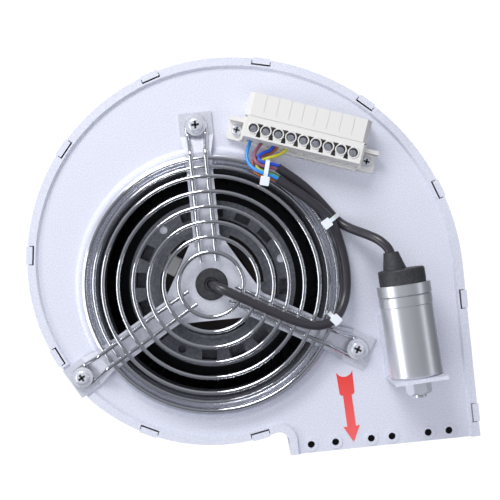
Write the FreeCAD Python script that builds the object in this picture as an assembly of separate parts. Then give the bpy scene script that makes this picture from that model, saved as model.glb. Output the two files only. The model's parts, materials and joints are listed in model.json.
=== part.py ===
import FreeCAD, Part
import math
import os

# Double-inlet centrifugal blower with an external-rotor motor.
# Millimetres. X runs to the right, Y from the front side plate towards the rear one, Z up.
# The origin is on the rotor's axis, in the front plate's outer face. The air leaves downwards.

V = FreeCAD.Vector

# ---------------------------------------------------------------- driving sizes
SHEET = 1.0                       # housing sheet
HOUSING_DEPTH = 180.0             # over the flat outer faces of both side plates
INLET_THROAT = 67.8               # radius of the bell-mouth's throat
ROLL_RADIUS = 6.2                 # rolled edge of the bell-mouth
ROLL_HEIGHT = 5.0                 # its crest above the plate
INLET_FILLET = 4.4                # where the roll meets the flat plate
INLET_LIP = 12.0                  # how far the throat reaches inwards from the plate's outer face

BLADE_STEP = 2.3                  # blade's inner edge inside the throat
BLADE_CHORD = 11.5                # radial length of a blade
BLADE_COUNT = 46
BLADE_SHEET = 0.8
BLADE_LEAN = 7.0                  # degrees that the tip leads the root
BLADE_BOW = 3.2
SHROUD_GAP = 4.0                  # from the throat's lip to the impeller
SHROUD_SHEET = 1.0
SHROUD_LIP = 4.0
DISC_SHEET = 1.2

SCROLL_OFFSET_X = 12.0            # centre of the scroll's widest arc
SCROLL_OFFSET_Z = -4.2
GAP_RIGHT = 60.4                  # the scroll's three radii beyond the blades' outer radius
GAP_LEFT = 43.0
GAP_BOTTOM = 31.6
OUTLET_WIDTH = 112.0
OUTLET_DROP = 102.7               # straight side, from the scroll's widest arc down to the outlet
TONGUE_RADIUS = 7.0

RIM_WIDTH = 5.0
RIM_HEIGHT = 2.0
RIM_SLOPE = 1.2
TAB_COUNT = 11
TAB_FIRST = 14.2                  # first tab above the outlet's corner
TAB_LAST = 9.0                    # last tab before the tongue
FOOT_TAB = 8                      # the tab beside the foot that overhangs the rim
FOOT_TAB_SHIFT = 4.0              # keeps it clear of the foot
TAB_LENGTH = 10.6
TAB_REACH = 1.9                   # over the side plate
TAB_BULGE = 1.7                   # the fold stands out beyond the side plate's edge
TAB_SLOT = 1.0                    # gap between a tab and its notch in the rim

OUTLET_HOLES = (11.9, 26.6, 48.1, 60.6, 82.4, 94.9)   # from the outlet's tongue side
OUTLET_HOLE_RADIUS = 2.15
OUTLET_HOLE_EDGE = 4.9
LAND_RADIUS = 4.0
LAND_HEIGHT = 0.5

WIRE = 1.25                       # radius of the guards' wire
GUARD_FIRST = 19.05
GUARD_PITCH = 8.9
GUARD_RINGS = 6
GUARD_LOW = (1.6, 6.9)            # the two low rings, beyond the throat's radius
HAIRPIN_Y = -11.5
HAIRPIN_GAP = 9.0
HAIRPIN_START = 13.5
WELD_BITE = 0.04
LOOP_RADIUS = 5.4

ARM_ANGLES = (90.0, 210.0, 330.0)
BRACKET_SHEET = 1.5
BRACKET_Y = -7.5                  # front face of the hub and the arms
ARM_WIDTH = 15.6
ARM_FLANGE = 3.2
HUB_FLAT = 21.5                   # from the axis to a side of the triangular hub
FOOT_WIDTH = 20.0
FOOT_OFFSET = 12.0                # foot screw beyond the bell-mouth's foot
FOOT_END = 8.0                    # foot beyond its screw
FOOT_RELIEF = 1.5                 # gap in the rim beside the foot that overhangs it
SCREW_RADIUS = 2.5
SCREW_HEAD = 4.2
WASHER_RADIUS = 6.2
WASHER_SHEET = 1.0
NUT_HEIGHT = 3.5

GROMMET_RADIUS = 9.6
GROMMET_NECK = 8.0
GROMMET_LIP = 1.6
MOTOR_CABLE_RADIUS = 2.75
CAPACITOR_CABLE_RADIUS = 2.75
CONDUCTOR_RADIUS = 1.0

STATOR_RADIUS = 38.5
FLANGE_Y = 1.0
FLANGE_SHEET = 3.0
BOSS_RADIUS = 19.0
STUD_PLACE = 25.0
STUD_RADIUS = 2.0
BEARING_RADIUS = 11.0
BEARING_WIDTH = 7.0
TUBE_WALL = 3.0                   # bearing tube round the bearings
SHAFT_RADIUS = 4.0
RACE = 2.0
BALL_RADIUS = 1.9
BALL_COUNT = 7
FRONT_BEARING_Y = 12.0
SPRING_SHEET = 1.2
CORE_START = 24.0
CORE_LENGTH = 30.0
WINDING_OVERHANG = 12.0
SLOT_COUNT = 12
SLOT_WIDTH = 6.0
TOOTH_FOOT = 6.0                  # from the bearing tube to the slots
TOOTH_TIP = 4.5                   # from the slots to the air gap
AIR_GAP = 0.5
ROTOR_CORE = 9.0                  # radial thickness
CUP_SHEET = 2.0
CUP_HUB = 13.4                    # length of the cup's boss on the shaft
CUP_CLEARANCE = 8.0               # from the boss to the bearing tube
CAGE_START = 8.0
CAGE_FACE = 12.0
CAGE_WINDOWS = 16
FIRST_WINDOW = 14.3               # its angle
CAGE_BARS = 24
BAR_RADIUS = 2.0
PIN_RADIUS = 2.4
RIVET_RADIUS = 2.0
RIVET_HEAD = 3.6
RIVET_ANGLES = (45.0, 135.0, 225.0, 315.0)

CONNECTOR_ANGLE = -19.6
CONNECTOR_SIDE = 51.1             # direction of the connector from the axis
CONNECTOR_OFFSET = 15.0           # its centre beyond the bell-mouth's foot
POLES = 9
POLE_PITCH = 7.5
EAR_SCREW = 4.7                   # beyond the end of the strip
EAR_SCREW_RADIUS = 1.75
BASE_DEPTH = 18.0
BASE_TOP = 9.0
BASE_FOOT = -6.8
TERMINAL_Z = 1.9
SCREW_WELL = 2.75
PLUG_DEPTH = 18.4
PLUG_HEIGHT = 13.6

CAPACITOR_LEAN = 2.7
CAPACITOR_OFFSET = 29.8           # its foot beyond the bell-mouth's foot, along X
CAPACITOR_Z = -64.0
CAPACITOR_STANDOFF = 25.0
CAN_RADIUS = 15.0
CAN_HEIGHT = 53.5
CRIMP = 0.6                       # crimped edge beyond the can
BOOT_STEP = 1.6                   # boot inside the can's radius
BOOT_HEIGHT = 8.8
NOZZLE_HEIGHT = 10.2
ANGLE_SHEET = 2.0
CAPACITOR_RIVETS = (12.0, 27.0)   # heights on the angle
STUD_M8 = 4.0

# Routes of the cables, chosen by hand, each from its exit to the end of its sheath.
MOTOR_CABLE_ROUTE = (
    (0.0, -1.0, 0.0), (0.3, -10.5, 0.0), (4.8, -17.4, -2.4), (13.3, -18.5, -7.2), (23.0, -18.5, -13.0),
    (35.0, -18.5, -19.9), (47.0, -18.5, -26.3), (55.2, -18.2, -29.4),
    (61.4, -17.3, -30.3), (66.4, -16.0, -29.4), (70.3, -14.3, -27.4), (73.6, -12.1, -24.0),
    (76.2, -10.0, -19.8), (78.3, -8.2, -14.6), (79.6, -7.0, -8.4), (80.1, -6.6, -1.0), (79.8, -6.6, 6.5),
    (78.9, -7.4, 13.0), (77.6, -8.8, 19.0), (76.0, -10.2, 24.6), (73.7, -11.0, 30.2), (70.0, -12.0, 35.4),
    (65.3, -12.9, 40.4), (59.8, -13.5, 45.5), (54.0, -13.9, 50.5), (45.0, -14.6, 57.5))
CAPACITOR_CABLE_ROUTE = (
    (105.6, -25.0, 3.5), (104.7, -25.0, 9.0), (102.4, -24.6, 12.8), (98.8, -22.6, 16.4), (94.0, -18.4, 19.4),
    (88.8, -13.2, 22.2), (84.2, -9.0, 24.8), (80.4, -6.4, 27.6), (76.1, -5.4, 32.0), (71.8, -5.5, 38.4),
    (67.2, -6.6, 44.4), (62.1, -8.3, 50.2), (55.6, -10.4, 56.6), (45.8, -12.8, 64.3))

# Each conductor: where it leaves its sheath (across and in front of the middle), the pole that it
# ends in (number, offset from the pole and y), then its route between the two.
LIGHT_BLUE = ((0.1, 1.25), (0, 0.0, -8.3), (38.5, -16.4, 61.0), (33.2, -15.6, 63.6), (29.4, -13.6, 67.4),
              (28.2, -11.6, 72.0), (29.0, -9.8, 76.6))
GREEN_YELLOW = ((1.03, -0.72), (3, -0.2, -8.3), (38.7, -14.4, 61.9), (34.6, -13.0, 64.0), (33.4, -11.6, 67.4),
                (36.6, -10.4, 69.8), (43.6, -9.2, 71.2), (49.8, -8.6, 72.5))
BROWN = ((-1.13, -0.53), (2, 1.1, -8.3), (38.1, -14.4, 59.5), (32.9, -13.0, 62.0), (31.0, -12.4, 66.2),
         (31.6, -11.2, 70.4), (36.0, -8.6, 72.3), (41.0, -7.6, 73.0), (45.6, -7.8, 74.6))
MAUVE = ((-1.1, 0.0), (1, -0.7, -8.3), (39.5, -14.0, 65.0), (35.0, -14.6, 67.0), (32.6, -13.6, 70.2),
         (33.0, -11.4, 74.2), (35.6, -9.4, 77.4))
DARK_BLUE = ((1.1, 0.0), (2, -1.2, -8.9), (40.1, -14.0, 67.1), (36.6, -14.2, 68.4), (34.9, -13.2, 70.9),
             (36.4, -11.2, 73.4), (40.0, -9.9, 74.4), (43.5, -9.4, 75.1))
ENTRY_DEPTH = 3.4                 # of a conductor's end above the strip's foot

# What each tie is drawn round: discs across the cable's direction, each as (across, y).
WIRE_TIE_CORNERS = ((4.2, -14.0), (-2.1, -16.4), (-3.6, -14.4), (0.2, -9.0), (1.0, -9.0))
BRANCH_TIE_CORNERS = ((0.0, -11.0), (2.9, -5.4))
LOWER_TIE_CORNERS = ((0.0, -14.8), (1.1, -10.6))
TIE_WIDTH = 2.5
TIE_STRAP = 0.9
TIE_HEAD = 5.4
TIE_SLACK = 0.3

# ---------------------------------------------------------------- sizes that follow
MIDDLE = HOUSING_DEPTH / 2.0
ROLL_CENTRE = INLET_THROAT + ROLL_RADIUS
FLARE_START = ROLL_CENTRE + math.sqrt(ROLL_HEIGHT * (2.0 * (ROLL_RADIUS + INLET_FILLET) - ROLL_HEIGHT))
BLADE_INNER = INLET_THROAT - BLADE_STEP
BLADE_OUTER = BLADE_INNER + BLADE_CHORD
RADIUS_RIGHT = BLADE_OUTER + GAP_RIGHT
RADIUS_LEFT = BLADE_OUTER + GAP_LEFT
RADIUS_BOTTOM = BLADE_OUTER + GAP_BOTTOM
OUTLET_Z = SCROLL_OFFSET_Z - OUTLET_DROP
OUTLET_RIGHT = SCROLL_OFFSET_X + RADIUS_RIGHT
OUTLET_LEFT = OUTLET_RIGHT - OUTLET_WIDTH
FOOT_SCREW = FLARE_START + FOOT_OFFSET
FOOT_Y = -BRACKET_SHEET
LOOP_Y = FOOT_Y - WIRE
GUARD_WELD = 2.0 * WIRE - WELD_BITE   # between the middles of two welded wires
ARM_REACH = ROLL_CENTRE + 4.5     # arms run level to here, then drop to the feet
SHROUD_Y = INLET_LIP + SHROUD_GAP
CUP_BACK = MIDDLE - DISC_SHEET / 2.0
CUP_INSIDE = CUP_BACK - CUP_SHEET
CUP_HUB_Y = CUP_INSIDE - CUP_HUB
TUBE_END = CUP_HUB_Y - CUP_CLEARANCE
REAR_BEARING_Y = TUBE_END - TUBE_WALL - BEARING_WIDTH
SHOULDER_Y = FRONT_BEARING_Y + BEARING_WIDTH + SPRING_SHEET
TUBE_RADIUS = BEARING_RADIUS + TUBE_WALL
BALL_PITCH = (SHAFT_RADIUS + BEARING_RADIUS) / 2.0
SLOT_START = TUBE_RADIUS + TOOTH_FOOT
SLOT_END = STATOR_RADIUS - TOOTH_TIP
CORE_END = CORE_START + CORE_LENGTH
ROTOR_BORE = STATOR_RADIUS + AIR_GAP
CUP_BORE = ROTOR_BORE + ROTOR_CORE
ROTOR_RADIUS = CUP_BORE + CUP_SHEET
CAGE_RADIUS = ROTOR_RADIUS + 0.5
BAR_PLACE = (ROTOR_BORE + CUP_BORE) / 2.0
PIN_PLACE = CAGE_RADIUS - 6.5
CONNECTOR_CENTRE = (FLARE_START + CONNECTOR_OFFSET, CONNECTOR_SIDE)
BASE_HALF = POLES * POLE_PITCH / 2.0 + 1.25
EAR_PLACE = BASE_HALF + EAR_SCREW
CAPACITOR_X = FLARE_START + CAPACITOR_OFFSET
BOOT_RADIUS = CAN_RADIUS - BOOT_STEP


# ---------------------------------------------------------------- helpers
def at(radius, angle, y=0.0):
    """Point at a radius and an angle about the rotor's axis, from +X towards +Z."""
    turn = math.radians(angle)
    return V(radius * math.cos(turn), y, radius * math.sin(turn))


def turned(shape, angle):
    """Copy turned about the rotor's axis, from +X towards +Z."""
    copy = shape.copy()
    copy.rotate(V(0, 0, 0), V(0, -1, 0), angle)
    return copy


def moved(shape, x=0.0, y=0.0, z=0.0):
    copy = shape.copy()
    copy.translate(V(x, y, z))
    return copy


def mirrored(shape):
    """Copy on the other side of the housing's middle plane."""
    return shape.mirror(V(0, MIDDLE, 0), V(0, 1, 0))


def all_round(shape, angles):
    return [turned(shape, angle) for angle in angles]


def disc(radius, y0, y1, x=0.0, z=0.0):
    return Part.makeCylinder(radius, y1 - y0, V(x, y0, z), V(0, 1, 0))


def ring(outer, inner, y0, y1, x=0.0, z=0.0):
    return disc(outer, y0, y1, x, z).cut(disc(inner, y0 - 1, y1 + 1, x, z))


def post(radius, z0, z1, x=0.0, y=0.0):
    """Upright cylinder."""
    return Part.makeCylinder(radius, z1 - z0, V(x, y, z0), V(0, 0, 1))


def block(x0, x1, y0, y1, z0, z1):
    return Part.makeBox(x1 - x0, y1 - y0, z1 - z0, V(x0, y0, z0))


def face_of(points):
    return Part.Face(Part.makePolygon(list(points) + [points[0]]))


def plate_xz(points, y0, y1):
    """Flat piece whose outline is drawn in X and Z."""
    return face_of([V(x, y0, z) for x, z in points]).extrude(V(0, y1 - y0, 0))


def strip_xy(points, z0, z1):
    """Bent strip whose side view is drawn in X and Y."""
    return face_of([V(x, y, z0) for x, y in points]).extrude(V(0, 0, z1 - z0))


def strip_yz(points, x0, x1):
    """Bar whose end view is drawn in Y and Z."""
    return face_of([V(x0, y, z) for y, z in points]).extrude(V(x1 - x0, 0, 0))


def revolved(points):
    """Ring whose section is drawn as radius and Y."""
    return face_of([V(r, y, 0) for r, y in points]).revolve(V(0, 0, 0), V(0, 1, 0), 360)


def fused(shapes):
    return shapes[0].multiFuse(shapes[1:]).removeSplitter()


def group(shapes):
    """Separate solids of one node."""
    return Part.makeCompound(shapes)


def rounded(shape, radius, along):
    """Round the straight edges that run along one axis."""
    edges = []
    for edge in shape.Edges:
        if isinstance(edge.Curve, Part.Line) and abs(edge.Curve.Direction.dot(along)) > 0.999:
            edges.append(edge)
    return shape.makeFillet(radius, edges)


def arc(centre_x, centre_z, radius, start, end):
    """Arc about a point of the X-Z plane, between two angles."""
    corners = []
    for angle in (start, (start + end) / 2.0, end):
        corners.append(at(radius, angle) + V(centre_x, 0, centre_z))
    return Part.Arc(*corners).toShape()


def bend_radii(points):
    """Largest even bend that the two runs beside each inner point leave room for."""
    radii = []
    for before, corner, after in zip(points, points[1:], points[2:]):
        run_in, run_out = corner - before, after - corner
        half_turn = run_in.getAngle(run_out) / 2.0
        radii.append(0.45 * min(run_in.Length, run_out.Length) / math.tan(half_turn))
    return radii


def bent_path(points, radii):
    """Straight runs joined by tangent arcs."""
    edges, start = [], points[0]
    for before, corner, after, radius in zip(points, points[1:], points[2:], radii):
        come, leave = (corner - before).normalize(), (after - corner).normalize()
        half_turn = come.getAngle(leave) / 2.0
        setback = radius * math.tan(half_turn)
        first, last = corner - come * setback, corner + leave * setback
        inwards = (leave - come).normalize()
        middle = corner + inwards * (radius / math.cos(half_turn) - radius)
        if (first - start).Length > 1e-6:
            edges.append(Part.LineSegment(start, first).toShape())
        edges.append(Part.Arc(first, middle, last).toShape())
        start = last
    edges.append(Part.LineSegment(start, points[-1]).toShape())
    return Part.Wire(edges)


def tube(points, radius, radii=None):
    """Round wire or cable along a bent path."""
    points = [V(*point) for point in points]
    path = bent_path(points, radii or bend_radii(points))
    section = Part.Wire(Part.makeCircle(radius, points[0], points[1] - points[0]))
    return path.makePipeShell([section], True, False)


def cable(name, points, radius):
    """Cable as its real length; prints what it measures."""
    solid = tube(points, radius)
    corners = [V(*point) for point in points]
    length = bent_path(corners, bend_radii(corners)).Length
    share = solid.Volume / (math.pi * radius * radius * length)
    print(name, "length", round(length, 1), "volume over section x length", round(share, 4),
          "tightest bend", round(min(bend_radii(corners)), 1))
    return solid


def pan_screw(shank, head, height, length):
    """Cross-recessed pan head in front of y = 0, with its shank behind."""
    body = disc(head, -height, 0).fuse(disc(shank, 0, length))
    top = [edge for edge in body.Edges if abs(edge.CenterOfMass.y + height) < 1e-6]
    body = body.makeFillet(height * 0.55, top)
    slot, depth = head * 0.16, height * 0.6
    for x, z in ((head * 0.55, slot), (slot, head * 0.55)):
        body = body.cut(block(-x, x, -height - 1, -height + depth, -z, z))
    return body


def hex_nut(flats, height, bore):
    """Nut with its front face at y = 0."""
    corner = flats / math.sqrt(3.0)
    outline = [(at(corner, 60 * k).x, at(corner, 60 * k).z) for k in range(6)]
    return plate_xz(outline, 0, height).cut(disc(bore, -1, height + 1))


# ---------------------------------------------------------------- scroll outline
def scroll_arcs(inset):
    """The scroll's three arcs, from the outlet's straight side round to the tongue."""
    left_z = SCROLL_OFFSET_Z + RADIUS_RIGHT - RADIUS_LEFT
    bottom_x = SCROLL_OFFSET_X - RADIUS_LEFT + RADIUS_BOTTOM
    tongue_x = OUTLET_LEFT - TONGUE_RADIUS - bottom_x
    last = 360.0 - math.degrees(math.acos(tongue_x / (RADIUS_BOTTOM + TONGUE_RADIUS)))
    return ((SCROLL_OFFSET_X, SCROLL_OFFSET_Z, RADIUS_RIGHT - inset, 0.0, 90.0),
            (SCROLL_OFFSET_X, left_z, RADIUS_LEFT - inset, 90.0, 180.0),
            (bottom_x, left_z, RADIUS_BOTTOM - inset, 180.0, last))


def scroll_outline(inset, bottom, y):
    """Closed outline of a side plate, moved inwards by inset, with its outlet edge at bottom."""
    arcs = scroll_arcs(inset)
    centre_x, centre_z, radius, start, last = arcs[-1]
    tongue = at(radius + inset + TONGUE_RADIUS, last) + V(centre_x, 0, centre_z)
    corner = arc(tongue.x, tongue.z, TONGUE_RADIUS + inset, last - 180.0, 0.0)
    right = V(OUTLET_RIGHT - inset, 0, bottom)
    left = V(OUTLET_LEFT + inset, 0, bottom)
    edges = [Part.LineSegment(right, V(right.x, 0, SCROLL_OFFSET_Z)).toShape()]
    edges += [arc(*values) for values in arcs]
    edges.append(corner)
    edges.append(Part.LineSegment(V(left.x, 0, tongue.z), left).toShape())
    edges.append(Part.LineSegment(left, right).toShape())
    return moved(Part.Wire(edges), y=y)


def scroll_slab(inset, bottom, y0, y1):
    return Part.Face(scroll_outline(inset, bottom, y0)).extrude(V(0, y1 - y0, 0))


def scroll_wedge(inset0, y0, inset1, y1, bottom):
    """Slab whose outline changes evenly with depth."""
    outlines = [scroll_outline(inset0, bottom, y0), scroll_outline(inset1, bottom, y1)]
    return Part.makeLoft(outlines, True, True)


def edge_places():
    """Distance along the plate's edge turned into places of the tabs: point and outward angle."""
    arcs = scroll_arcs(0.0)
    lengths = [radius * math.radians(end - start) for _, _, radius, start, end in arcs]
    pitch = (OUTLET_DROP + sum(lengths) - TAB_FIRST - TAB_LAST) / (TAB_COUNT - 1)
    places = []
    for number in range(TAB_COUNT):
        along = TAB_FIRST + number * pitch
        if number == FOOT_TAB:
            along -= FOOT_TAB_SHIFT
        if along < OUTLET_DROP:
            places.append((V(OUTLET_RIGHT, 0, OUTLET_Z + along), 0.0))
            continue
        along -= OUTLET_DROP
        for (centre_x, centre_z, radius, start, _), length in zip(arcs, lengths):
            if along <= length + 1e-6:
                angle = start + math.degrees(along / radius)
                places.append((at(radius, angle) + V(centre_x, 0, centre_z), angle))
                break
            along -= length
    return places


def foot_relief(y0, y1, grow):
    """Block over the rim where the bracket's left foot overhangs it."""
    half = FOOT_WIDTH / 2.0 + FOOT_RELIEF + grow
    overhang = block(FOOT_SCREW - FOOT_END - grow, FOOT_SCREW + 2.0 * FOOT_END, y0, y1, -half, half)
    return turned(overhang, ARM_ANGLES[1])


def at_tabs(shape):
    """Copies of a shape drawn for an edge at the origin that faces +X, one at each tab."""
    return [moved(turned(shape, angle), place.x, place.y, place.z) for place, angle in edge_places()]


# ---------------------------------------------------------------- housing
def bell_mouth():
    """Rolled inlet drawn from the plate: fillet, roll, then the throat's lip."""
    centre_y = ROLL_RADIUS - ROLL_HEIGHT
    towards = V(ROLL_CENTRE - FLARE_START, centre_y + INLET_FILLET, 0).normalize()
    fillet_centre = V(FLARE_START, -INLET_FILLET, 0)
    roll_centre = V(ROLL_CENTRE, centre_y, 0)
    sides = []
    for depth in (0.0, SHEET):
        fillet, roll = INLET_FILLET + depth, ROLL_RADIUS - depth
        start = V(FLARE_START, depth, 0)
        joint = fillet_centre + towards * fillet
        bend = fillet_centre + (V(0, 1, 0) + towards).normalize() * fillet
        inner = V(ROLL_CENTRE - roll, centre_y, 0)
        crest = roll_centre + V(0, -roll, 0)
        lip = V(inner.x, INLET_LIP, 0)
        sides.append((Part.Arc(start, bend, joint).toShape(), Part.Arc(joint, crest, inner).toShape(),
                      Part.LineSegment(inner, lip).toShape(), start, lip))
    front, back = sides
    edges = list(front[:3]) + [Part.LineSegment(front[4], back[4]).toShape()]
    edges += [back[2], back[1], back[0], Part.LineSegment(back[3], front[3]).toShape()]
    section = Part.Face(Part.Wire(Part.__sortEdges__(edges)))
    return section.revolve(V(0, 0, 0), V(0, 1, 0), 360)


def side_plate():
    """Front side plate: raised rim notched for the tabs, bell-mouth, outlet holes with lands."""
    below = OUTLET_Z - 10.0
    rim_top = RIM_WIDTH - RIM_SLOPE
    body = scroll_slab(0.0, OUTLET_Z, -RIM_HEIGHT, SHEET)
    body = body.cut(scroll_wedge(RIM_WIDTH, 0.0, rim_top, -RIM_HEIGHT, below))
    body = body.cut(foot_relief(-RIM_HEIGHT - 1.0, 0.0, 0.0))
    groove = scroll_slab(-1.0, OUTLET_Z - 1.0, SHEET - RIM_HEIGHT, SHEET)
    groove = groove.cut(scroll_wedge(RIM_WIDTH, SHEET, rim_top, SHEET - RIM_HEIGHT, below))
    groove = groove.cut(foot_relief(-RIM_HEIGHT, SHEET + 1.0, SHEET))
    half = TAB_LENGTH / 2.0 + TAB_SLOT / 2.0
    notch = block(-TAB_REACH - TAB_SLOT, 2.0, -RIM_HEIGHT - 1.0, SHEET + 1.0, -half, half)
    body = body.cut(groove).cut(group(at_tabs(notch)))
    body = body.cut(disc(FLARE_START, -RIM_HEIGHT - 1.0, SHEET + 1.0)).fuse(bell_mouth())
    lands, holes = [], []
    for offset in OUTLET_HOLES:
        x, z = OUTLET_LEFT + offset, OUTLET_Z + OUTLET_HOLE_EDGE
        lands.append(disc(LAND_RADIUS, -LAND_HEIGHT, 0.0, x, z))
        holes.append(disc(OUTLET_HOLE_RADIUS, -LAND_HEIGHT - 1.0, SHEET + 1.0, x, z))
    return body.fuse(lands).cut(group(holes)).removeSplitter()


def scroll_wrap():
    """Sheet round both side plates, open at the outlet, with its folded tabs."""
    depth = HOUSING_DEPTH + RIM_HEIGHT
    sheet = scroll_slab(-SHEET, OUTLET_Z, -RIM_HEIGHT, depth)
    sheet = sheet.cut(scroll_slab(0.0, OUTLET_Z - 1.0, -RIM_HEIGHT - 1.0, depth + 1.0))
    relief = foot_relief(-RIM_HEIGHT - 1.0, 0.0, 0.0)
    half = TAB_LENGTH / 2.0
    tabs = at_tabs(block(-TAB_REACH, TAB_BULGE, -RIM_HEIGHT, SHEET - RIM_HEIGHT, -half, half))
    sheet = sheet.cut(group([relief, mirrored(relief)]))
    return sheet.fuse(tabs + [mirrored(tab) for tab in tabs])


# ---------------------------------------------------------------- guards
def hairpin(foot):
    """Two guard legs along +X, joined by a loop round the foot screw; foot is the loop's level."""
    leg, loop = HAIRPIN_GAP / 2.0, LOOP_RADIUS + 0.1
    drop = ROLL_CENTRE + 4.0
    level = FOOT_SCREW - LOOP_RADIUS
    end = FOOT_SCREW + loop
    half = [V(HAIRPIN_START, HAIRPIN_Y, leg), V(drop, HAIRPIN_Y, leg), V(level, foot, loop), V(end, foot, loop)]
    other = [V(p.x, p.y, -p.z) for p in reversed(half)]
    return tube(half + other, WIRE, (6.0, 4.0, LOOP_RADIUS, LOOP_RADIUS, 4.0, 6.0))


def guard_rings(radii, y):
    return [Part.makeTorus(radius, WIRE, V(0, y, 0), V(0, 1, 0)) for radius in radii]


def wire_guard(foot):
    """Three hairpins and the rings welded in front of them."""
    radii = [GUARD_FIRST + number * GUARD_PITCH for number in range(GUARD_RINGS)]
    return group(all_round(hairpin(foot), ARM_ANGLES) + guard_rings(radii, HAIRPIN_Y - GUARD_WELD))


def low_rings():
    """The two rings welded behind the hairpins, round the bell-mouth's throat."""
    return group(guard_rings([INLET_THROAT + beyond for beyond in GUARD_LOW], HAIRPIN_Y + GUARD_WELD))


# ---------------------------------------------------------------- motor bracket and its fasteners
def bracket_arm():
    """Channel arm along +X, from the hub down to its square foot."""
    top, back = BRACKET_Y, BRACKET_Y + BRACKET_SHEET
    foot_start, end = FLARE_START + 6.0, FOOT_SCREW + FOOT_END
    side = [(HUB_FLAT - 4.0, top), (ARM_REACH, top), (foot_start, FOOT_Y), (end, FOOT_Y),
            (end, 0.0), (foot_start, 0.0), (ARM_REACH - 0.6, back), (HUB_FLAT - 4.0, back)]
    arm, foot = ARM_WIDTH / 2.0, FOOT_WIDTH / 2.0
    plan = [(0.0, -arm), (ARM_REACH, -arm), (foot_start, -foot), (end, -foot),
            (end, foot), (foot_start, foot), (ARM_REACH, arm), (0.0, arm)]
    floor = strip_xy(side, -foot, foot).common(plate_xz(plan, -50.0, 50.0))
    crest = top - ARM_FLANGE
    wall = [(HUB_FLAT + 1.0, top), (HUB_FLAT + 6.0, crest), (ARM_REACH - 16.0, crest),
            (ARM_REACH - 11.0, top), (ARM_REACH - 11.0, back), (HUB_FLAT + 1.0, back)]
    lip = strip_xy(wall, arm - BRACKET_SHEET, arm)
    return floor.fuse([lip, moved(lip, z=BRACKET_SHEET - 2.0 * arm)])


def motor_bracket():
    """Three arms on a triangular hub with turned-back edges; the weld studs stand behind it."""
    top, back = BRACKET_Y, BRACKET_Y + BRACKET_SHEET
    corners = [at(2.0 * HUB_FLAT, angle) for angle in ARM_ANGLES]
    hub = plate_xz([(corner.x, corner.z) for corner in corners], top, back)
    skirt = block(-BOSS_RADIUS, BOSS_RADIUS, back, back + 3.0, -HUB_FLAT, -HUB_FLAT + BRACKET_SHEET)
    pieces = [hub] + all_round(skirt, (0.0, 120.0, 240.0)) + all_round(bracket_arm(), ARM_ANGLES)
    body = fused(pieces)
    body = body.cut(disc(GROMMET_NECK, top - 1.0, back + 1.0))
    hole = disc(SCREW_RADIUS + 0.2, FOOT_Y - 1.0, 1.0, FOOT_SCREW)
    body = body.cut(group(all_round(hole, ARM_ANGLES)))
    stud = disc(STUD_RADIUS, back, FLANGE_Y + FLANGE_SHEET + 3.6, STUD_PLACE)
    return body.fuse(all_round(stud, ARM_ANGLES))


def foot_washer_y():
    return LOOP_Y - WIRE - WASHER_SHEET


def foot_screw():
    length = SHEET + NUT_HEIGHT + 1.0 - foot_washer_y()
    return moved(pan_screw(SCREW_RADIUS, SCREW_HEAD, 2.8, length), FOOT_SCREW, foot_washer_y())


def foot_washer():
    return ring(WASHER_RADIUS, SCREW_RADIUS + 0.2, foot_washer_y(), LOOP_Y - WIRE, FOOT_SCREW)


def clinch_nut():
    return moved(hex_nut(8.0, NUT_HEIGHT, SCREW_RADIUS), FOOT_SCREW, SHEET)


def guard_screw():
    """Flanged screw of the rear guard, drawn for the front side."""
    loop_top = -2.0 * WIRE
    screw = pan_screw(2.0, SCREW_HEAD, 2.8, SHEET + 5.0 - loop_top).fuse(ring(WASHER_RADIUS, 2.0, 0.0, 1.0))
    return moved(screw, FOOT_SCREW, loop_top - 1.0)


# ---------------------------------------------------------------- motor: standing pieces
def cable_grommet():
    """Rubber ring in the hub's hole, with the cable through it."""
    top, back = BRACKET_Y, BRACKET_Y + BRACKET_SHEET
    profile = [(MOTOR_CABLE_RADIUS, top - GROMMET_LIP), (GROMMET_RADIUS - 1.0, top - GROMMET_LIP),
               (GROMMET_RADIUS, top - 0.6), (GROMMET_RADIUS, top), (GROMMET_NECK, top), (GROMMET_NECK, back),
               (GROMMET_RADIUS, back), (GROMMET_RADIUS - 0.6, back + 1.4), (MOTOR_CABLE_RADIUS, back + 1.4)]
    wide, narrow = MOTOR_CABLE_RADIUS + 1.85, MOTOR_CABLE_RADIUS + 1.45
    start, floor = top - GROMMET_LIP - 1.0, top - 0.4
    mouth = [(0.0, start), (wide, start), (narrow, floor), (0.0, floor)]
    body = revolved(profile).cut(revolved(mouth))
    return body.cut(tube(MOTOR_CABLE_ROUTE, MOTOR_CABLE_RADIUS))


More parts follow.
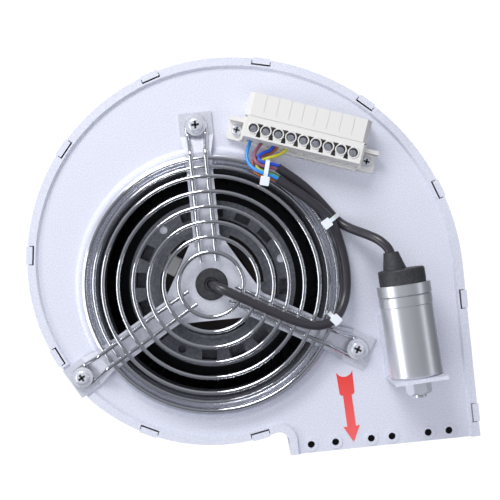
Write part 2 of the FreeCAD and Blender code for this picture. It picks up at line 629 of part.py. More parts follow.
def stator_flange():
    """Cast flange: boss behind the hub, kidney windows with ribs, bearing tube."""
    back = BRACKET_Y + BRACKET_SHEET
    rear = FLANGE_Y + FLANGE_SHEET
    body = disc(STATOR_RADIUS, FLANGE_Y, rear)
    body = body.fuse([disc(BOSS_RADIUS, back, FLANGE_Y), disc(TUBE_RADIUS, rear, TUBE_END)])
    window = ring(31.0, BOSS_RADIUS + 2.0, FLANGE_Y - 1.0, rear + 1.0)
    wedge = plate_xz([(0.0, 0.0), (50.0, 34.0), (50.0, -34.0)], FLANGE_Y - 2.0, rear + 2.0)
    window = window.common(wedge)
    rib = ring(32.6, 31.0, FLANGE_Y - 1.4, FLANGE_Y).common(wedge)
    pad = disc(5.0, back, FLANGE_Y, STUD_PLACE)
    bumps = [moved(disc(0.9, FLANGE_Y - 0.7, FLANGE_Y), at(35.0, turn).x, 0, at(35.0, turn).z)
             for turn in (-22.0, -12.0, -2.0, 8.0, 18.0)]
    between = (30.0, 150.0, 270.0)
    body = body.cut(group(all_round(window, between)))
    body = body.fuse(all_round(rib, between) + all_round(pad, ARM_ANGLES) + all_round(group(bumps), between))
    bores = [disc(BEARING_RADIUS, back - 1.0, FLANGE_Y + 1.0),
             disc(BEARING_RADIUS, FLANGE_Y, SHOULDER_Y), disc(BEARING_RADIUS - 2.0, SHOULDER_Y, TUBE_END),
             disc(BEARING_RADIUS, REAR_BEARING_Y, TUBE_END + 1.0)]
    slot = block(BEARING_RADIUS - 2.0, BOSS_RADIUS + 2.0, back - 1.0, FLANGE_Y, -2.5, 2.5)
    studs = all_round(disc(STUD_RADIUS, back - 1.0, rear + 1.0, STUD_PLACE), ARM_ANGLES)
    return body.cut(group(bores)).cut(group(all_round(slot, between) + studs)).removeSplitter()


def flange_nut():
    return moved(hex_nut(7.0, 3.0, STUD_RADIUS), STUD_PLACE, FLANGE_Y + FLANGE_SHEET)


def stator_core():
    """Lamination stack with slots for the windings."""
    body = ring(STATOR_RADIUS, TUBE_RADIUS, CORE_START, CORE_END)
    slot = block(SLOT_START, SLOT_END, CORE_START - 1.0, CORE_END + 1.0, -SLOT_WIDTH / 2, SLOT_WIDTH / 2)
    mouth = block(SLOT_END - 1.0, STATOR_RADIUS + 1.0, CORE_START - 1.0, CORE_END + 1.0, -1.0, 1.0)
    turns = [360.0 * k / SLOT_COUNT for k in range(SLOT_COUNT)]
    return body.cut(group(all_round(slot.fuse(mouth), turns)))


def stator_windings():
    """End turns at both ends and the copper in the slots."""
    half = SLOT_WIDTH / 2.0 - 0.2
    bars = block(SLOT_START + 0.4, SLOT_END - 0.4, CORE_START - 1.0, CORE_END + 1.0, -half, half)
    turns = [360.0 * k / SLOT_COUNT for k in range(SLOT_COUNT)]
    ends = []
    for near, far in ((CORE_START, CORE_START - WINDING_OVERHANG), (CORE_END, CORE_END + WINDING_OVERHANG)):
        step = 3.0 if far > near else -3.0
        inner, outer = SLOT_START - 0.5, SLOT_END + 0.5
        ends.append(revolved([(inner, near), (inner, far - step), (inner + 3.0, far), (outer - 3.0, far),
                              (outer, far - step), (outer, near)]))
    return ends[0].fuse(all_round(bars, turns) + [ends[1]])


def thermal_cutout():
    """Small protector tied on the front end turns."""
    front = CORE_START - WINDING_OVERHANG
    body = block(SLOT_START + 3.0, SLOT_END - 3.0, front - 3.5, front, -6.0, 6.0)
    return turned(rounded(body, 1.2, V(1, 0, 0)), 150.0)


def bearing(y):
    """Outer race, inner race, and balls in their cage."""
    middle, end = y + BEARING_WIDTH / 2.0, y + BEARING_WIDTH
    track = Part.makeTorus(BALL_PITCH, BALL_RADIUS + 0.03, V(0, middle, 0), V(0, 1, 0))
    outer = ring(BEARING_RADIUS, BEARING_RADIUS - RACE, y, end).cut(track)
    inner = ring(SHAFT_RADIUS + RACE, SHAFT_RADIUS, y, end).cut(track)
    turns = [360.0 * k / BALL_COUNT for k in range(BALL_COUNT)]
    balls = [Part.makeSphere(BALL_RADIUS, at(BALL_PITCH, turn, middle)) for turn in turns]
    cage = ring(BALL_PITCH + 0.7, BALL_PITCH - 0.7, middle - 2.4, middle + 2.4)
    pocket = Part.makeCylinder(BALL_RADIUS + 0.05, 4.0, V(BALL_PITCH - 2.0, middle, 0), V(1, 0, 0))
    return outer, inner, group(balls + [cage.cut(group(all_round(pocket, turns)))])


# ---------------------------------------------------------------- motor: turning pieces
def shaft():
    body = disc(SHAFT_RADIUS, FRONT_BEARING_Y - 4.0, CUP_BACK)
    return body.cut(ring(SHAFT_RADIUS + 1.0, SHAFT_RADIUS - 0.4, FRONT_BEARING_Y - 1.3, FRONT_BEARING_Y - 0.3))


def circlip():
    body = ring(SHAFT_RADIUS + 1.6, SHAFT_RADIUS - 0.4, FRONT_BEARING_Y - 1.25, FRONT_BEARING_Y - 0.35)
    return body.cut(block(0.0, 8.0, 0.0, FRONT_BEARING_Y, -1.8, 1.8))


def rotor_core():
    bar = disc(BAR_RADIUS, CORE_START - 1.0, CORE_END + 1.0, BAR_PLACE)
    turns = [360.0 * k / CAGE_BARS for k in range(CAGE_BARS)]
    return ring(CUP_BORE, ROTOR_BORE, CORE_START, CORE_END).cut(group(all_round(bar, turns)))


def rotor_cage():
    """Cast ring with windows and balancing bosses in front, bars and rear ring in the core."""
    face_end = CAGE_START + CAGE_FACE
    body = ring(CAGE_RADIUS, ROTOR_BORE + 0.4, CAGE_START, face_end)
    window = block(ROTOR_BORE + 1.6, CAGE_RADIUS - 3.9, CAGE_START - 1.0, face_end - 2.0, -4.6, 4.6)
    hole = disc(PIN_RADIUS, CAGE_START - 1.0, CAGE_START + 6.0, PIN_PLACE)
    step = 360.0 / CAGE_WINDOWS
    for number in range(CAGE_WINDOWS):
        is_boss = number % 5 == 0 and number < CAGE_WINDOWS - 1
        body = body.cut(turned(hole if is_boss else window, FIRST_WINDOW + step * number))
    bars = disc(BAR_RADIUS, CORE_START, CORE_END, BAR_PLACE)
    turns = [360.0 * k / CAGE_BARS for k in range(CAGE_BARS)]
    rings = [ring(CUP_BORE, ROTOR_BORE + 0.4, face_end, CORE_START),
             ring(CUP_BORE, ROTOR_BORE + 0.4, CORE_END, CORE_END + 4.0)]
    return body.fuse(rings + all_round(bars, turns))


def balancing_pins():
    pin = disc(PIN_RADIUS, CAGE_START + 1.0, CAGE_START + 6.0, PIN_PLACE)
    return group(all_round(pin, [FIRST_WINDOW + 360.0 / CAGE_WINDOWS * 5.0 * k for k in (0, 1)]))


def rotor_cup():
    """Steel cup over the rotor core, closed at the impeller's disc."""
    face_end = CAGE_START + CAGE_FACE
    body = disc(ROTOR_RADIUS, face_end, CUP_BACK).cut(disc(CUP_BORE, face_end - 1.0, CUP_INSIDE))
    body = body.fuse(disc(SHAFT_RADIUS + 7.0, CUP_HUB_Y, CUP_INSIDE))
    vent = disc(5.0, CUP_INSIDE - 1.0, CUP_BACK + 1.0, 27.0)
    cuts = all_round(vent, (30.0, 90.0, 150.0, 210.0, 270.0, 330.0)) + rivet_shanks()
    return body.cut(disc(SHAFT_RADIUS, 0.0, CUP_BACK + 1.0)).cut(group(cuts))


def rivet_shanks():
    return all_round(disc(RIVET_RADIUS, CUP_INSIDE - 1.0, CUP_BACK + DISC_SHEET + 1.0, BAR_PLACE), RIVET_ANGLES)


def hub_rivets():
    far = CUP_BACK + DISC_SHEET
    heads = [disc(RIVET_HEAD, CUP_INSIDE - 1.2, CUP_INSIDE, BAR_PLACE),
             disc(RIVET_HEAD, far, far + 1.2, BAR_PLACE)]
    shape = fused([disc(RIVET_RADIUS, CUP_INSIDE, far, BAR_PLACE)] + heads)
    return group(all_round(shape, RIVET_ANGLES))


# ---------------------------------------------------------------- impeller
def impeller_disc():
    start, end = CUP_BACK, CUP_BACK + DISC_SHEET
    return ring(BLADE_OUTER, 14.0, start, end).cut(group(rivet_shanks()))


def blade_row(y0, y1):
    """Forward-curved blades; they lead towards the clockwise turn seen from the front."""
    root, tip = at(BLADE_INNER, 0.0, y0), at(BLADE_OUTER, -BLADE_LEAN, y0)
    chord = (tip - root).normalize()
    side = V(-chord.z, 0, chord.x)
    outer = (root, (root + tip) * 0.5 + side * BLADE_BOW, tip)
    curve = Part.Arc(*outer).toShape()
    centre, radius = curve.Curve.Center, curve.Curve.Radius
    inner = [centre + (point - centre) * ((radius - BLADE_SHEET) / radius) for point in outer]
    edges = [curve, Part.LineSegment(tip, inner[2]).toShape(),
             Part.Arc(inner[2], inner[1], inner[0]).toShape(), Part.LineSegment(inner[0], root).toShape()]
    blade = Part.Face(Part.Wire(edges)).extrude(V(0, y1 - y0, 0))
    return group(all_round(blade, [360.0 * k / BLADE_COUNT for k in range(BLADE_COUNT)]))


def shroud_ring():
    """Front end ring of the impeller, its lip outside the blades' tips."""
    rim = BLADE_OUTER + 0.1
    return revolved([(BLADE_INNER, SHROUD_Y), (rim + SHROUD_SHEET, SHROUD_Y),
                     (rim + SHROUD_SHEET, SHROUD_Y + SHROUD_LIP), (rim, SHROUD_Y + SHROUD_LIP),
                     (rim, SHROUD_Y + SHROUD_SHEET), (BLADE_INNER, SHROUD_Y + SHROUD_SHEET)])


# ---------------------------------------------------------------- capacitor, drawn upright on its own axis
def on_capacitor(shape):
    """Place a shape drawn with the can's foot at the origin."""
    return moved(turned(shape, CAPACITOR_LEAN), CAPACITOR_X, -CAPACITOR_STANDOFF, CAPACITOR_Z)


def capacitor_can():
    """Can with a rolled foot, two beads and the crimped edge; the fixing stud is part of it."""
    top = CAN_HEIGHT
    profile = [(0.0, 0.0), (CAN_RADIUS - 1.2, 0.0), (CAN_RADIUS, 1.2), (CAN_RADIUS, top - 12.6),
               (CAN_RADIUS + 0.35, top - 12.2), (CAN_RADIUS + 0.35, top - 7.0), (CAN_RADIUS - 0.6, top - 6.5),
               (CAN_RADIUS + CRIMP, top - 6.0), (CAN_RADIUS + CRIMP, top), (BOOT_RADIUS, top),
               (BOOT_RADIUS, top - 2.0), (0.0, top - 2.0)]
    face = face_of([V(r, 0, z) for r, z in profile])
    shell = face.revolve(V(0, 0, 0), V(0, 0, 1), 360).cut(post(CAN_RADIUS - 0.8, 2.0, top - 8.0))
    return shell.fuse(post(STUD_M8, -12.0, 0.0))


def capacitor_winding():
    return post(CAN_RADIUS - 0.8, 2.0, CAN_HEIGHT - 8.0)


def capacitor_boot():
    """Rubber cap with its cable nozzle set to one side."""
    seat = CAN_HEIGHT - 2.0
    top = CAN_HEIGHT + BOOT_HEIGHT
    cap = post(BOOT_RADIUS, seat, top)
    crown = [edge for edge in cap.Edges if abs(edge.CenterOfMass.z - top) < 1e-6]
    cap = cap.makeFillet(1.2, crown)
    base = Part.makeCircle(7.0, V(-3.4, 0, top - 1.0), V(0, 0, 1))
    mouth = Part.makeCircle(4.3, V(-4.3, 0, top + NOZZLE_HEIGHT), V(0, 0, 1))
    nozzle = Part.makeLoft([Part.Wire(base), Part.Wire(mouth)], True, True)
    return cap.fuse(nozzle)


def capacitor_bracket():
    """Angle: one leg on the side plate, the other under the can."""
    wall = CAPACITOR_STANDOFF
    foot = block(-CAN_RADIUS, CAN_RADIUS, -CAN_RADIUS - 2.5, wall, -ANGLE_SHEET, 0.0)
    leg = block(-CAN_RADIUS, CAN_RADIUS, wall - ANGLE_SHEET, wall, -ANGLE_SHEET, 36.0)
    body = foot.fuse(leg).removeSplitter().cut(post(STUD_M8 + 0.2, -5.0, 5.0))
    return on_capacitor(body).cut(group(capacitor_rivet_shanks()))


def capacitor_rivet_shanks():
    wall = CAPACITOR_STANDOFF
    return [on_capacitor(disc(RIVET_RADIUS, wall - 6.0, wall + 4.0, 0.0, z)) for z in CAPACITOR_RIVETS]


def capacitor_rivets():
    wall = CAPACITOR_STANDOFF
    rivets = []
    for z in CAPACITOR_RIVETS:
        parts = [disc(RIVET_RADIUS, wall - ANGLE_SHEET, wall + SHEET, 0.0, z),
                 disc(RIVET_HEAD, wall - ANGLE_SHEET - 1.3, wall - ANGLE_SHEET, 0.0, z),
                 disc(3.0, wall + SHEET, wall + SHEET + 1.2, 0.0, z)]
        rivets.append(on_capacitor(fused(parts)))
    return group(rivets)


def upright(shape):
    """Turn a fastener drawn towards +Y so that it points down."""
    copy = shape.copy()
    copy.rotate(V(0, 0, 0), V(1, 0, 0), -90.0)
    return copy


def capacitor_washer():
    """Split lock washer under the angle."""
    body = post(7.2, -ANGLE_SHEET - 1.6, -ANGLE_SHEET).cut(post(STUD_M8 + 0.1, -10.0, 5.0))
    return on_capacitor(body.cut(block(0.0, 10.0, -0.7, 0.7, -10.0, 0.0)))


def capacitor_nut():
    start = -ANGLE_SHEET - 1.6
    body = moved(upright(hex_nut(13.0, 6.5, STUD_M8)), z=start)
    cone = Part.makeCone(6.4, 10.4, 4.0, V(0, 0, start - 6.5), V(0, 0, 1))
    return on_capacitor(body.common(cone.fuse(post(20.0, start - 2.5, start))))


# ---------------------------------------------------------------- connector, drawn along X about its centre
def on_connector(shape):
    centre = at(*CONNECTOR_CENTRE)
    return moved(turned(shape, CONNECTOR_ANGLE), centre.x, 0.0, centre.z)


def pole_places():
    return [(k - (POLES - 1) / 2.0) * POLE_PITCH for k in range(POLES)]


def connector_base():
    """Terminal strip: wells, pockets and wire funnels, with an ear at each end."""
    front = -BASE_DEPTH
    strip = strip_yz([(0.0, BASE_FOOT), (-4.0, BASE_FOOT), (-4.0, BASE_FOOT + 1.2), (front, -3.7),
                      (front, BASE_TOP), (0.0, BASE_TOP)], -BASE_HALF, BASE_HALF)
    ears = []
    for side in (-1, 1):
        x0, x1 = sorted((side * BASE_HALF, side * (EAR_PLACE + 5.4)))
        ear = rounded(block(x0, x1, -4.0, 0.0, -6.0, 7.0), 2.0, V(0, 1, 0))
        shelf = block(x0, x1, -11.0, -3.0, 4.6, 7.0)
        cheek = block(*sorted((side * BASE_HALF, side * (BASE_HALF + 1.4))), -15.0, -3.0, -6.0, 8.0)
        ears += [block(*sorted((side * (BASE_HALF - 1), side * (BASE_HALF + 3))), -4.0, 0.0, -6.0, 7.0),
                 ear, shelf, cheek]
    nub = [block(x + POLE_PITCH / 2 - 0.6, x + POLE_PITCH / 2 + 0.6, -4.0, -2.4, BASE_FOOT - 0.8, BASE_FOOT)
           for x in pole_places()[:-1]]
    cuts = []
    for x in pole_places():
        cuts.append(disc(SCREW_WELL, front - 1.0, front + 8.0, x, TERMINAL_Z))
        cuts.append(block(x - 2.4, x + 2.4, -11.0, -5.6, BASE_FOOT - 1.0, BASE_FOOT + 4.0))
    for x in [place + POLE_PITCH / 2.0 for place in pole_places()[:-1]]:
        right = [(x + 1.5, -2.6), (x + 0.7, 1.4), (x + 1.7, 5.2)]
        waist = right + [(2.0 * x - across, z) for across, z in reversed(right)]
        cuts.append(plate_xz(waist, front - 1.0, front + 14.0))
    body = strip.fuse(ears + nub).cut(group(cuts + contact_slots()))
    holes = [disc(2.0, -30.0, 1.0, side * EAR_PLACE, 0.0) for side in (-1, 1)]
    return body.cut(group(holes)).removeSplitter()


def contact_slots():
    return [block(x - 1.6, x + 1.6, -10.0, -8.4, BASE_FOOT + 4.0, BASE_TOP + 9.0) for x in pole_places()]


def terminal_contacts():
    """Brass tongues from the wire funnels up into the plug."""
    return group(contact_slots())


def terminal_screws():
    """Slotted screws at the bottom of the wells."""
    front = -BASE_DEPTH + 4.0
    screws = []
    for number, x in enumerate(pole_places()):
        head = disc(SCREW_WELL - 0.15, front, -BASE_DEPTH + 8.0)
        head = head.cut(turned(block(-4.0, 4.0, front - 1.0, front + 1.0, -0.45, 0.45), 40.0 + 31.0 * number))
        screws.append(moved(head, x, 0.0, TERMINAL_Z))
    return group(screws)


def connector_plug():
    """Plug block on the strip's upper side, with bevelled ends and a groove at each pole."""
    half, top = BASE_HALF + 1.8, BASE_TOP + PLUG_HEIGHT
    outline = [(-half, 0.0), (-half, -PLUG_DEPTH + 5.0), (-half + 3.0, -PLUG_DEPTH), (half - 3.0, -PLUG_DEPTH),
               (half, -PLUG_DEPTH + 5.0), (half, 0.0)]
    body = strip_xy(outline, BASE_TOP, top)
    grooves = [block(x + POLE_PITCH / 2 - 0.15, x + POLE_PITCH / 2 + 0.15, -PLUG_DEPTH - 1, -PLUG_DEPTH + 0.35,
                     BASE_TOP + 2.6, top + 1.0) for x in pole_places()[:-1]]
    return body.cut(group(grooves + contact_slots()))


def connector_screws():
    screw = moved(pan_screw(EAR_SCREW_RADIUS, 3.3, 2.4, 4.0 + SHEET + 2.0), y=-4.0)
    return group([moved(screw, side * EAR_PLACE) for side in (-1, 1)])


# ---------------------------------------------------------------- ties and arrow
def hull_slab(corners, radius, half):
    """Slab along X over equal discs at the corners (z, y) and all that lies between them."""
    front = V(-half, 0, 0)
    along = V(2.0 * half, 0, 0)
    places = [front + V(0, y, z) for z, y in corners]
    pieces = [Part.makeCylinder(radius, 2.0 * half, place, V(1, 0, 0)) for place in places]
    sides = list(zip(places, places[1:]))
    if len(places) > 2:
        pieces.append(face_of(places).extrude(along))
        sides.append((places[-1], places[0]))
    for first, second in sides:
        side = V(1, 0, 0).cross((second - first).normalize()) * radius
        pieces.append(face_of([first + side, second + side, second - side, first - side]).extrude(along))
    return fused(pieces)


def cable_tie(x, z, turn, corners, radius, head_z, head_y):
    """Strap drawn tight over discs at the corners, with its head in front, placed across a cable."""
    inside = radius + TIE_SLACK
    strap = hull_slab(corners, inside + TIE_STRAP, TIE_WIDTH / 2.0)
    half = TIE_HEAD / 2.0
    head = rounded(block(-half, half, head_y, head_y + 3.6, head_z - half, head_z + half), 0.7, V(0, 1, 0))
    tie = strap.fuse(head).cut(hull_slab(corners, inside, TIE_HEAD))
    return moved(turned(tie, turn), x, 0.0, z)


def direction_arrow():
    """Sticker that shows where the air leaves; its point is down."""
    tail, shaft, head, neck, cut = 4.9, 2.6, 5.0, 14.4, 3.4
    length, barb = 42.7, 9.3
    left = [(-tail, 0.0), (-tail + 0.4, -neck + 1.2), (-tail + 1.4, -neck), (-shaft, -neck),
            (-shaft, barb - length), (-head, barb - length + 0.3)]
    outline = left + [(0.0, -length)] + [(-x, z) for x, z in reversed(left)]
    points = [V(x, -0.25, z) for x, z in outline]
    edges = [Part.LineSegment(a, b).toShape() for a, b in zip(points, points[1:])]
    edges.append(Part.Arc(points[-1], V(0.0, -0.25, -cut), points[0]).toShape())
    sticker = Part.Face(Part.Wire(edges)).extrude(V(0, 0.25, 0))
    return moved(turned(sticker, 2.0), OUTLET_LEFT + 35.9, 0.0, OUTLET_Z + 46.6)


# ---------------------------------------------------------------- nodes
def housing_nodes():
    front = side_plate()
    rear = mirrored(front)
    screw_holes = all_round(disc(SCREW_RADIUS, -10.0, 10.0, FOOT_SCREW), ARM_ANGLES)
    ear_holes = [on_connector(disc(EAR_SCREW_RADIUS, -10.0, 10.0, side * EAR_PLACE)) for side in (-1, 1)]
    front = front.cut(group(screw_holes + ear_holes + capacitor_rivet_shanks()))
    guard_holes = all_round(disc(2.0, HOUSING_DEPTH - 10, HOUSING_DEPTH + 10, FOOT_SCREW), ARM_ANGLES)
    return {"front_side_plate": front, "rear_side_plate": rear.cut(group(guard_holes)),
            "scroll_wrap": scroll_wrap()}


def bracket_nodes():
    return {"motor_bracket": motor_bracket(),
            "bracket_screws": group(all_round(foot_screw(), ARM_ANGLES)),
            "bracket_washers": group(all_round(foot_washer(), ARM_ANGLES)),
            "clinch_nuts": group(all_round(clinch_nut(), ARM_ANGLES)),
            "front_guard": wire_guard(LOOP_Y), "front_guard_low_rings": low_rings(),
            "rear_guard": mirrored(wire_guard(-WIRE)), "rear_guard_low_rings": mirrored(low_rings()),
            "rear_guard_screws": mirrored(group(all_round(guard_screw(), ARM_ANGLES)))}


def motor_nodes():
    front_races, rear_races = bearing(FRONT_BEARING_Y), bearing(REAR_BEARING_Y)
    spring = ring(BEARING_RADIUS - 0.1, BEARING_RADIUS - RACE, FRONT_BEARING_Y + BEARING_WIDTH, SHOULDER_Y)
    return {"cable_grommet": cable_grommet(), "stator_flange": stator_flange(),
            "flange_nuts": group(all_round(flange_nut(), ARM_ANGLES)),
            "stator_core": stator_core(), "stator_windings": stator_windings(),
            "thermal_cutout": thermal_cutout(),
            "front_bearing_outer_race": front_races[0], "rear_bearing_outer_race": rear_races[0],
            "front_bearing_inner_race": front_races[1], "rear_bearing_inner_race": rear_races[1],
            "front_bearing_balls": front_races[2], "rear_bearing_balls": rear_races[2],
            "preload_spring": spring, "circlip": circlip(), "shaft": shaft(),
            "rotor_core": rotor_core(), "rotor_cage": rotor_cage(), "rotor_cup": rotor_cup(),
            "balancing_pins": balancing_pins()}


def impeller_nodes():
    ring_shape = shroud_ring()
    blade_start = SHROUD_Y + SHROUD_SHEET
    return {"impeller_disc": impeller_disc(), "hub_rivets": hub_rivets(),
            "front_blades": blade_row(blade_start, CUP_BACK),
            "rear_blades": blade_row(CUP_BACK + DISC_SHEET, HOUSING_DEPTH - blade_start),
            "front_shroud_ring": ring_shape, "rear_shroud_ring": mirrored(ring_shape)}


def capacitor_nodes():
    return {"capacitor_can": on_capacitor(capacitor_can()),
            "capacitor_winding": on_capacitor(capacitor_winding()),
            "capacitor_boot": on_capacitor(capacitor_boot()).cut(tube(CAPACITOR_CABLE_ROUTE,
                                                                      CAPACITOR_CABLE_RADIUS)),
            "capacitor_bracket": capacitor_bracket(), "capacitor_nut": capacitor_nut(),
            "capacitor_washer": capacitor_washer(), "capacitor_rivets": capacitor_rivets()}


def connector_nodes():
    return {"connector_base": on_connector(connector_base()), "connector_plug": on_connector(connector_plug()),
            "terminal_screws": on_connector(terminal_screws()),
            "terminal_contacts": on_connector(terminal_contacts()),
            "connector_screws": on_connector(connector_screws())}


def terminal_entry(pole, offset, y):
    """Point where a conductor ends inside its pole."""
    along, up = at(1.0, CONNECTOR_ANGLE), at(1.0, CONNECTOR_ANGLE + 90.0)
    place = at(*CONNECTOR_CENTRE) + along * (pole_places()[pole] + offset) + up * (BASE_FOOT + ENTRY_DEPTH)
    return place + V(0, y, 0)


def conductor(name, sheath, leaving, entry, *route):
    """Conductor from the end face of a cable's sheath into its terminal."""
    end, before = V(*sheath[-1]), V(*sheath[-2])
    heading = (end - before).normalize()
    across = V(heading.z, 0, -heading.x).normalize()
    start = end + heading * 0.05 + across * leaving[0] + V(0, -leaving[1], 0)
    points = [start, start + heading * 1.5] + [V(*point) for point in route]
    return cable(name, points + [terminal_entry(*entry)], CONDUCTOR_RADIUS)


def wiring_nodes():
    motor, capacitor = MOTOR_CABLE_ROUTE, CAPACITOR_CABLE_ROUTE
    sheaths = [cable("motor_cable", motor, MOTOR_CABLE_RADIUS),
               cable("capacitor_cable", capacitor, CAPACITOR_CABLE_RADIUS)]
    wire_tie = cable_tie(39.0, 63.0, -15.0, WIRE_TIE_CORNERS, WIRE, -6.3, -18.6)
    branch_tie = cable_tie(73.7, 30.2, -58.0, BRANCH_TIE_CORNERS, MOTOR_CABLE_RADIUS, -3.2, -16.6)
    lower_tie = cable_tie(70.3, -27.6, 40.0, LOWER_TIE_CORNERS, MOTOR_CABLE_RADIUS, 0.0, -21.4)
    return {"motor_cable": sheaths[0], "capacitor_cable": sheaths[1],
            "light_blue_wire": conductor("light_blue_wire", motor, *LIGHT_BLUE),
            "green_yellow_wire": conductor("green_yellow_wire", motor, *GREEN_YELLOW),
            "brown_wire": conductor("brown_wire", motor, *BROWN),
            "mauve_wire": conductor("mauve_wire", capacitor, *MAUVE),
            "dark_blue_wire": conductor("dark_blue_wire", capacitor, *DARK_BLUE),
            "wire_tie": wire_tie, "branch_tie": branch_tie.cut(group(sheaths)),
            "lower_tie": lower_tie.cut(sheaths[0]), "direction_arrow": direction_arrow()}


def main():
    os.makedirs("parts", exist_ok=True)
    nodes = {}
    for make in (housing_nodes, bracket_nodes, motor_nodes, impeller_nodes, capacitor_nodes,
                 connector_nodes, wiring_nodes):
        nodes.update(make())
    for name, shape in nodes.items():
        if not shape.isValid():
            print("not valid:", name)
        shape.exportStep(f"parts/{name}.step")
    print(len(nodes), "nodes")


main()
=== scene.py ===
import json
import math

import bpy
from mathutils import Matrix, Vector


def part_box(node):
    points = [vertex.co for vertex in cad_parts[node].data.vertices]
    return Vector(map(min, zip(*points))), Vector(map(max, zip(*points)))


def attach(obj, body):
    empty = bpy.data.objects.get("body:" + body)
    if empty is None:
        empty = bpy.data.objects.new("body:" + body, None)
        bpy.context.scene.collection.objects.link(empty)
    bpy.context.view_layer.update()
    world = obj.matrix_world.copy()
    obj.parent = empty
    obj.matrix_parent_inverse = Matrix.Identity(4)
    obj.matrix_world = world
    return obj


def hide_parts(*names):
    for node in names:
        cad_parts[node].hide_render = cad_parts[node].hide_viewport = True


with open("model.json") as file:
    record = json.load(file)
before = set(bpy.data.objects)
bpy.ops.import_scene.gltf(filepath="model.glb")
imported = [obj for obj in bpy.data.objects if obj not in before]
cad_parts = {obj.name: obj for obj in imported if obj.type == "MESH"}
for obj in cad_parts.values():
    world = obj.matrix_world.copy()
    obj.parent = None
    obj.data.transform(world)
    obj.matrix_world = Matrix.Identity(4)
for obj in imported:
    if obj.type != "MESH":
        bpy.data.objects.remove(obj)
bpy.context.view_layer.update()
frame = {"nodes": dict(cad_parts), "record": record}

MM = 0.001
HOUSING = "housing"

# ---------------------------------------------------------------- camera
CAMERA_DISTANCE = 0.600            # from the front side plate, along +Y
CAMERA_AIM = (0.0247, 0.0178)      # X and Z of the plate's point in the middle of the picture
CAMERA_ROLL = math.radians(5.9)
VIEW_WIDTH = 0.300                 # of the plate's plane, across the picture
SENSOR = 36.0
BACKDROP_DEPTH = 0.6               # behind the front side plate
BACKDROP_HALF = 0.36               # just fills the picture at that depth
# depth of the near-black painted shade card behind the front plate's lower holes
PAINTED_SHADE_CARD_DEPTH = 0.028
MOUTH_RADIUS = 0.080               # where the side plates begin to roll into the inlets
MOUTH_BLEND = 0.004                # width over which the sheet's look changes there

# ---------------------------------------------------------------- screws: the places of part.py, in mm
FOOT_ANGLES = (90.0, 210.0, 330.0)
FOOT_SCREW = 95.0                  # from the rotor's axis
FOOT_SCREW_FACE = -7.8             # Y of the bracket screws' heads
FOOT_SCREW_HEAD = 4.2              # radius
EAR_PLACE = 39.7                   # from the connector's middle, along it
EAR_SCREW_FACE = -6.4
EAR_SCREW_HEAD = 3.3
RECESS_DEPTH = 0.75                # of the painted shade blocks below the heads

# ---------------------------------------------------------------- terminals: the places of part.py, in mm
CONNECTOR_CENTRE = (61.54, 76.27)  # X and Z
CONNECTOR_ANGLE = math.radians(-19.6)
POLES = 9
POLE_PITCH = 7.5
SCREW_HEIGHT = 1.9                 # of the terminal screws above the strip's middle
SCREW_FACE = -14.0                 # Y of the terminal screws' heads
BASE_FACE = -18.0                  # Y of the strip's face
WELL_RADIUS = 2.75
BOX_FACES = ((0, 1, 2, 3), (7, 6, 5, 4), (0, 4, 5, 1), (1, 5, 6, 2), (2, 6, 7, 3), (3, 7, 4, 0))

# ---------------------------------------------------------------- cables: the routes of part.py, in mm
MOTOR_CABLE_RADIUS = 2.75
CAPACITOR_CABLE_RADIUS = 2.75
CONDUCTOR_RADIUS = 1.0
MOTOR_CABLE_ROUTE = (
    (0.0, -1.0, 0.0), (0.3, -10.5, 0.0), (4.8, -17.4, -2.4), (13.3, -18.5, -7.2), (23.0, -18.5, -13.0),
    (35.0, -18.5, -19.9), (47.0, -18.5, -26.3), (55.2, -18.2, -29.4),
    (61.4, -17.3, -30.3), (66.4, -16.0, -29.4), (70.3, -14.3, -27.4), (73.6, -12.1, -24.0),
    (76.2, -10.0, -19.8), (78.3, -8.2, -14.6), (79.6, -7.0, -8.4), (80.1, -6.6, -1.0), (79.8, -6.6, 6.5),
    (78.9, -7.4, 13.0), (77.6, -8.8, 19.0), (76.0, -10.2, 24.6), (73.7, -11.0, 30.2), (70.0, -12.0, 35.4),
    (65.3, -12.9, 40.4), (59.8, -13.5, 45.5), (54.0, -13.9, 50.5), (45.0, -14.6, 57.5))
CAPACITOR_CABLE_ROUTE = (
    (105.6, -25.0, 3.5), (104.7, -25.0, 9.0), (102.4, -24.6, 12.8), (98.8, -22.6, 16.4), (94.0, -18.4, 19.4),
    (88.8, -13.2, 22.2), (84.2, -9.0, 24.8), (80.4, -6.4, 27.6), (76.1, -5.4, 32.0), (71.8, -5.5, 38.4),
    (67.2, -6.6, 44.4), (62.1, -8.3, 50.2), (55.6, -10.4, 56.6), (45.8, -12.8, 64.3))
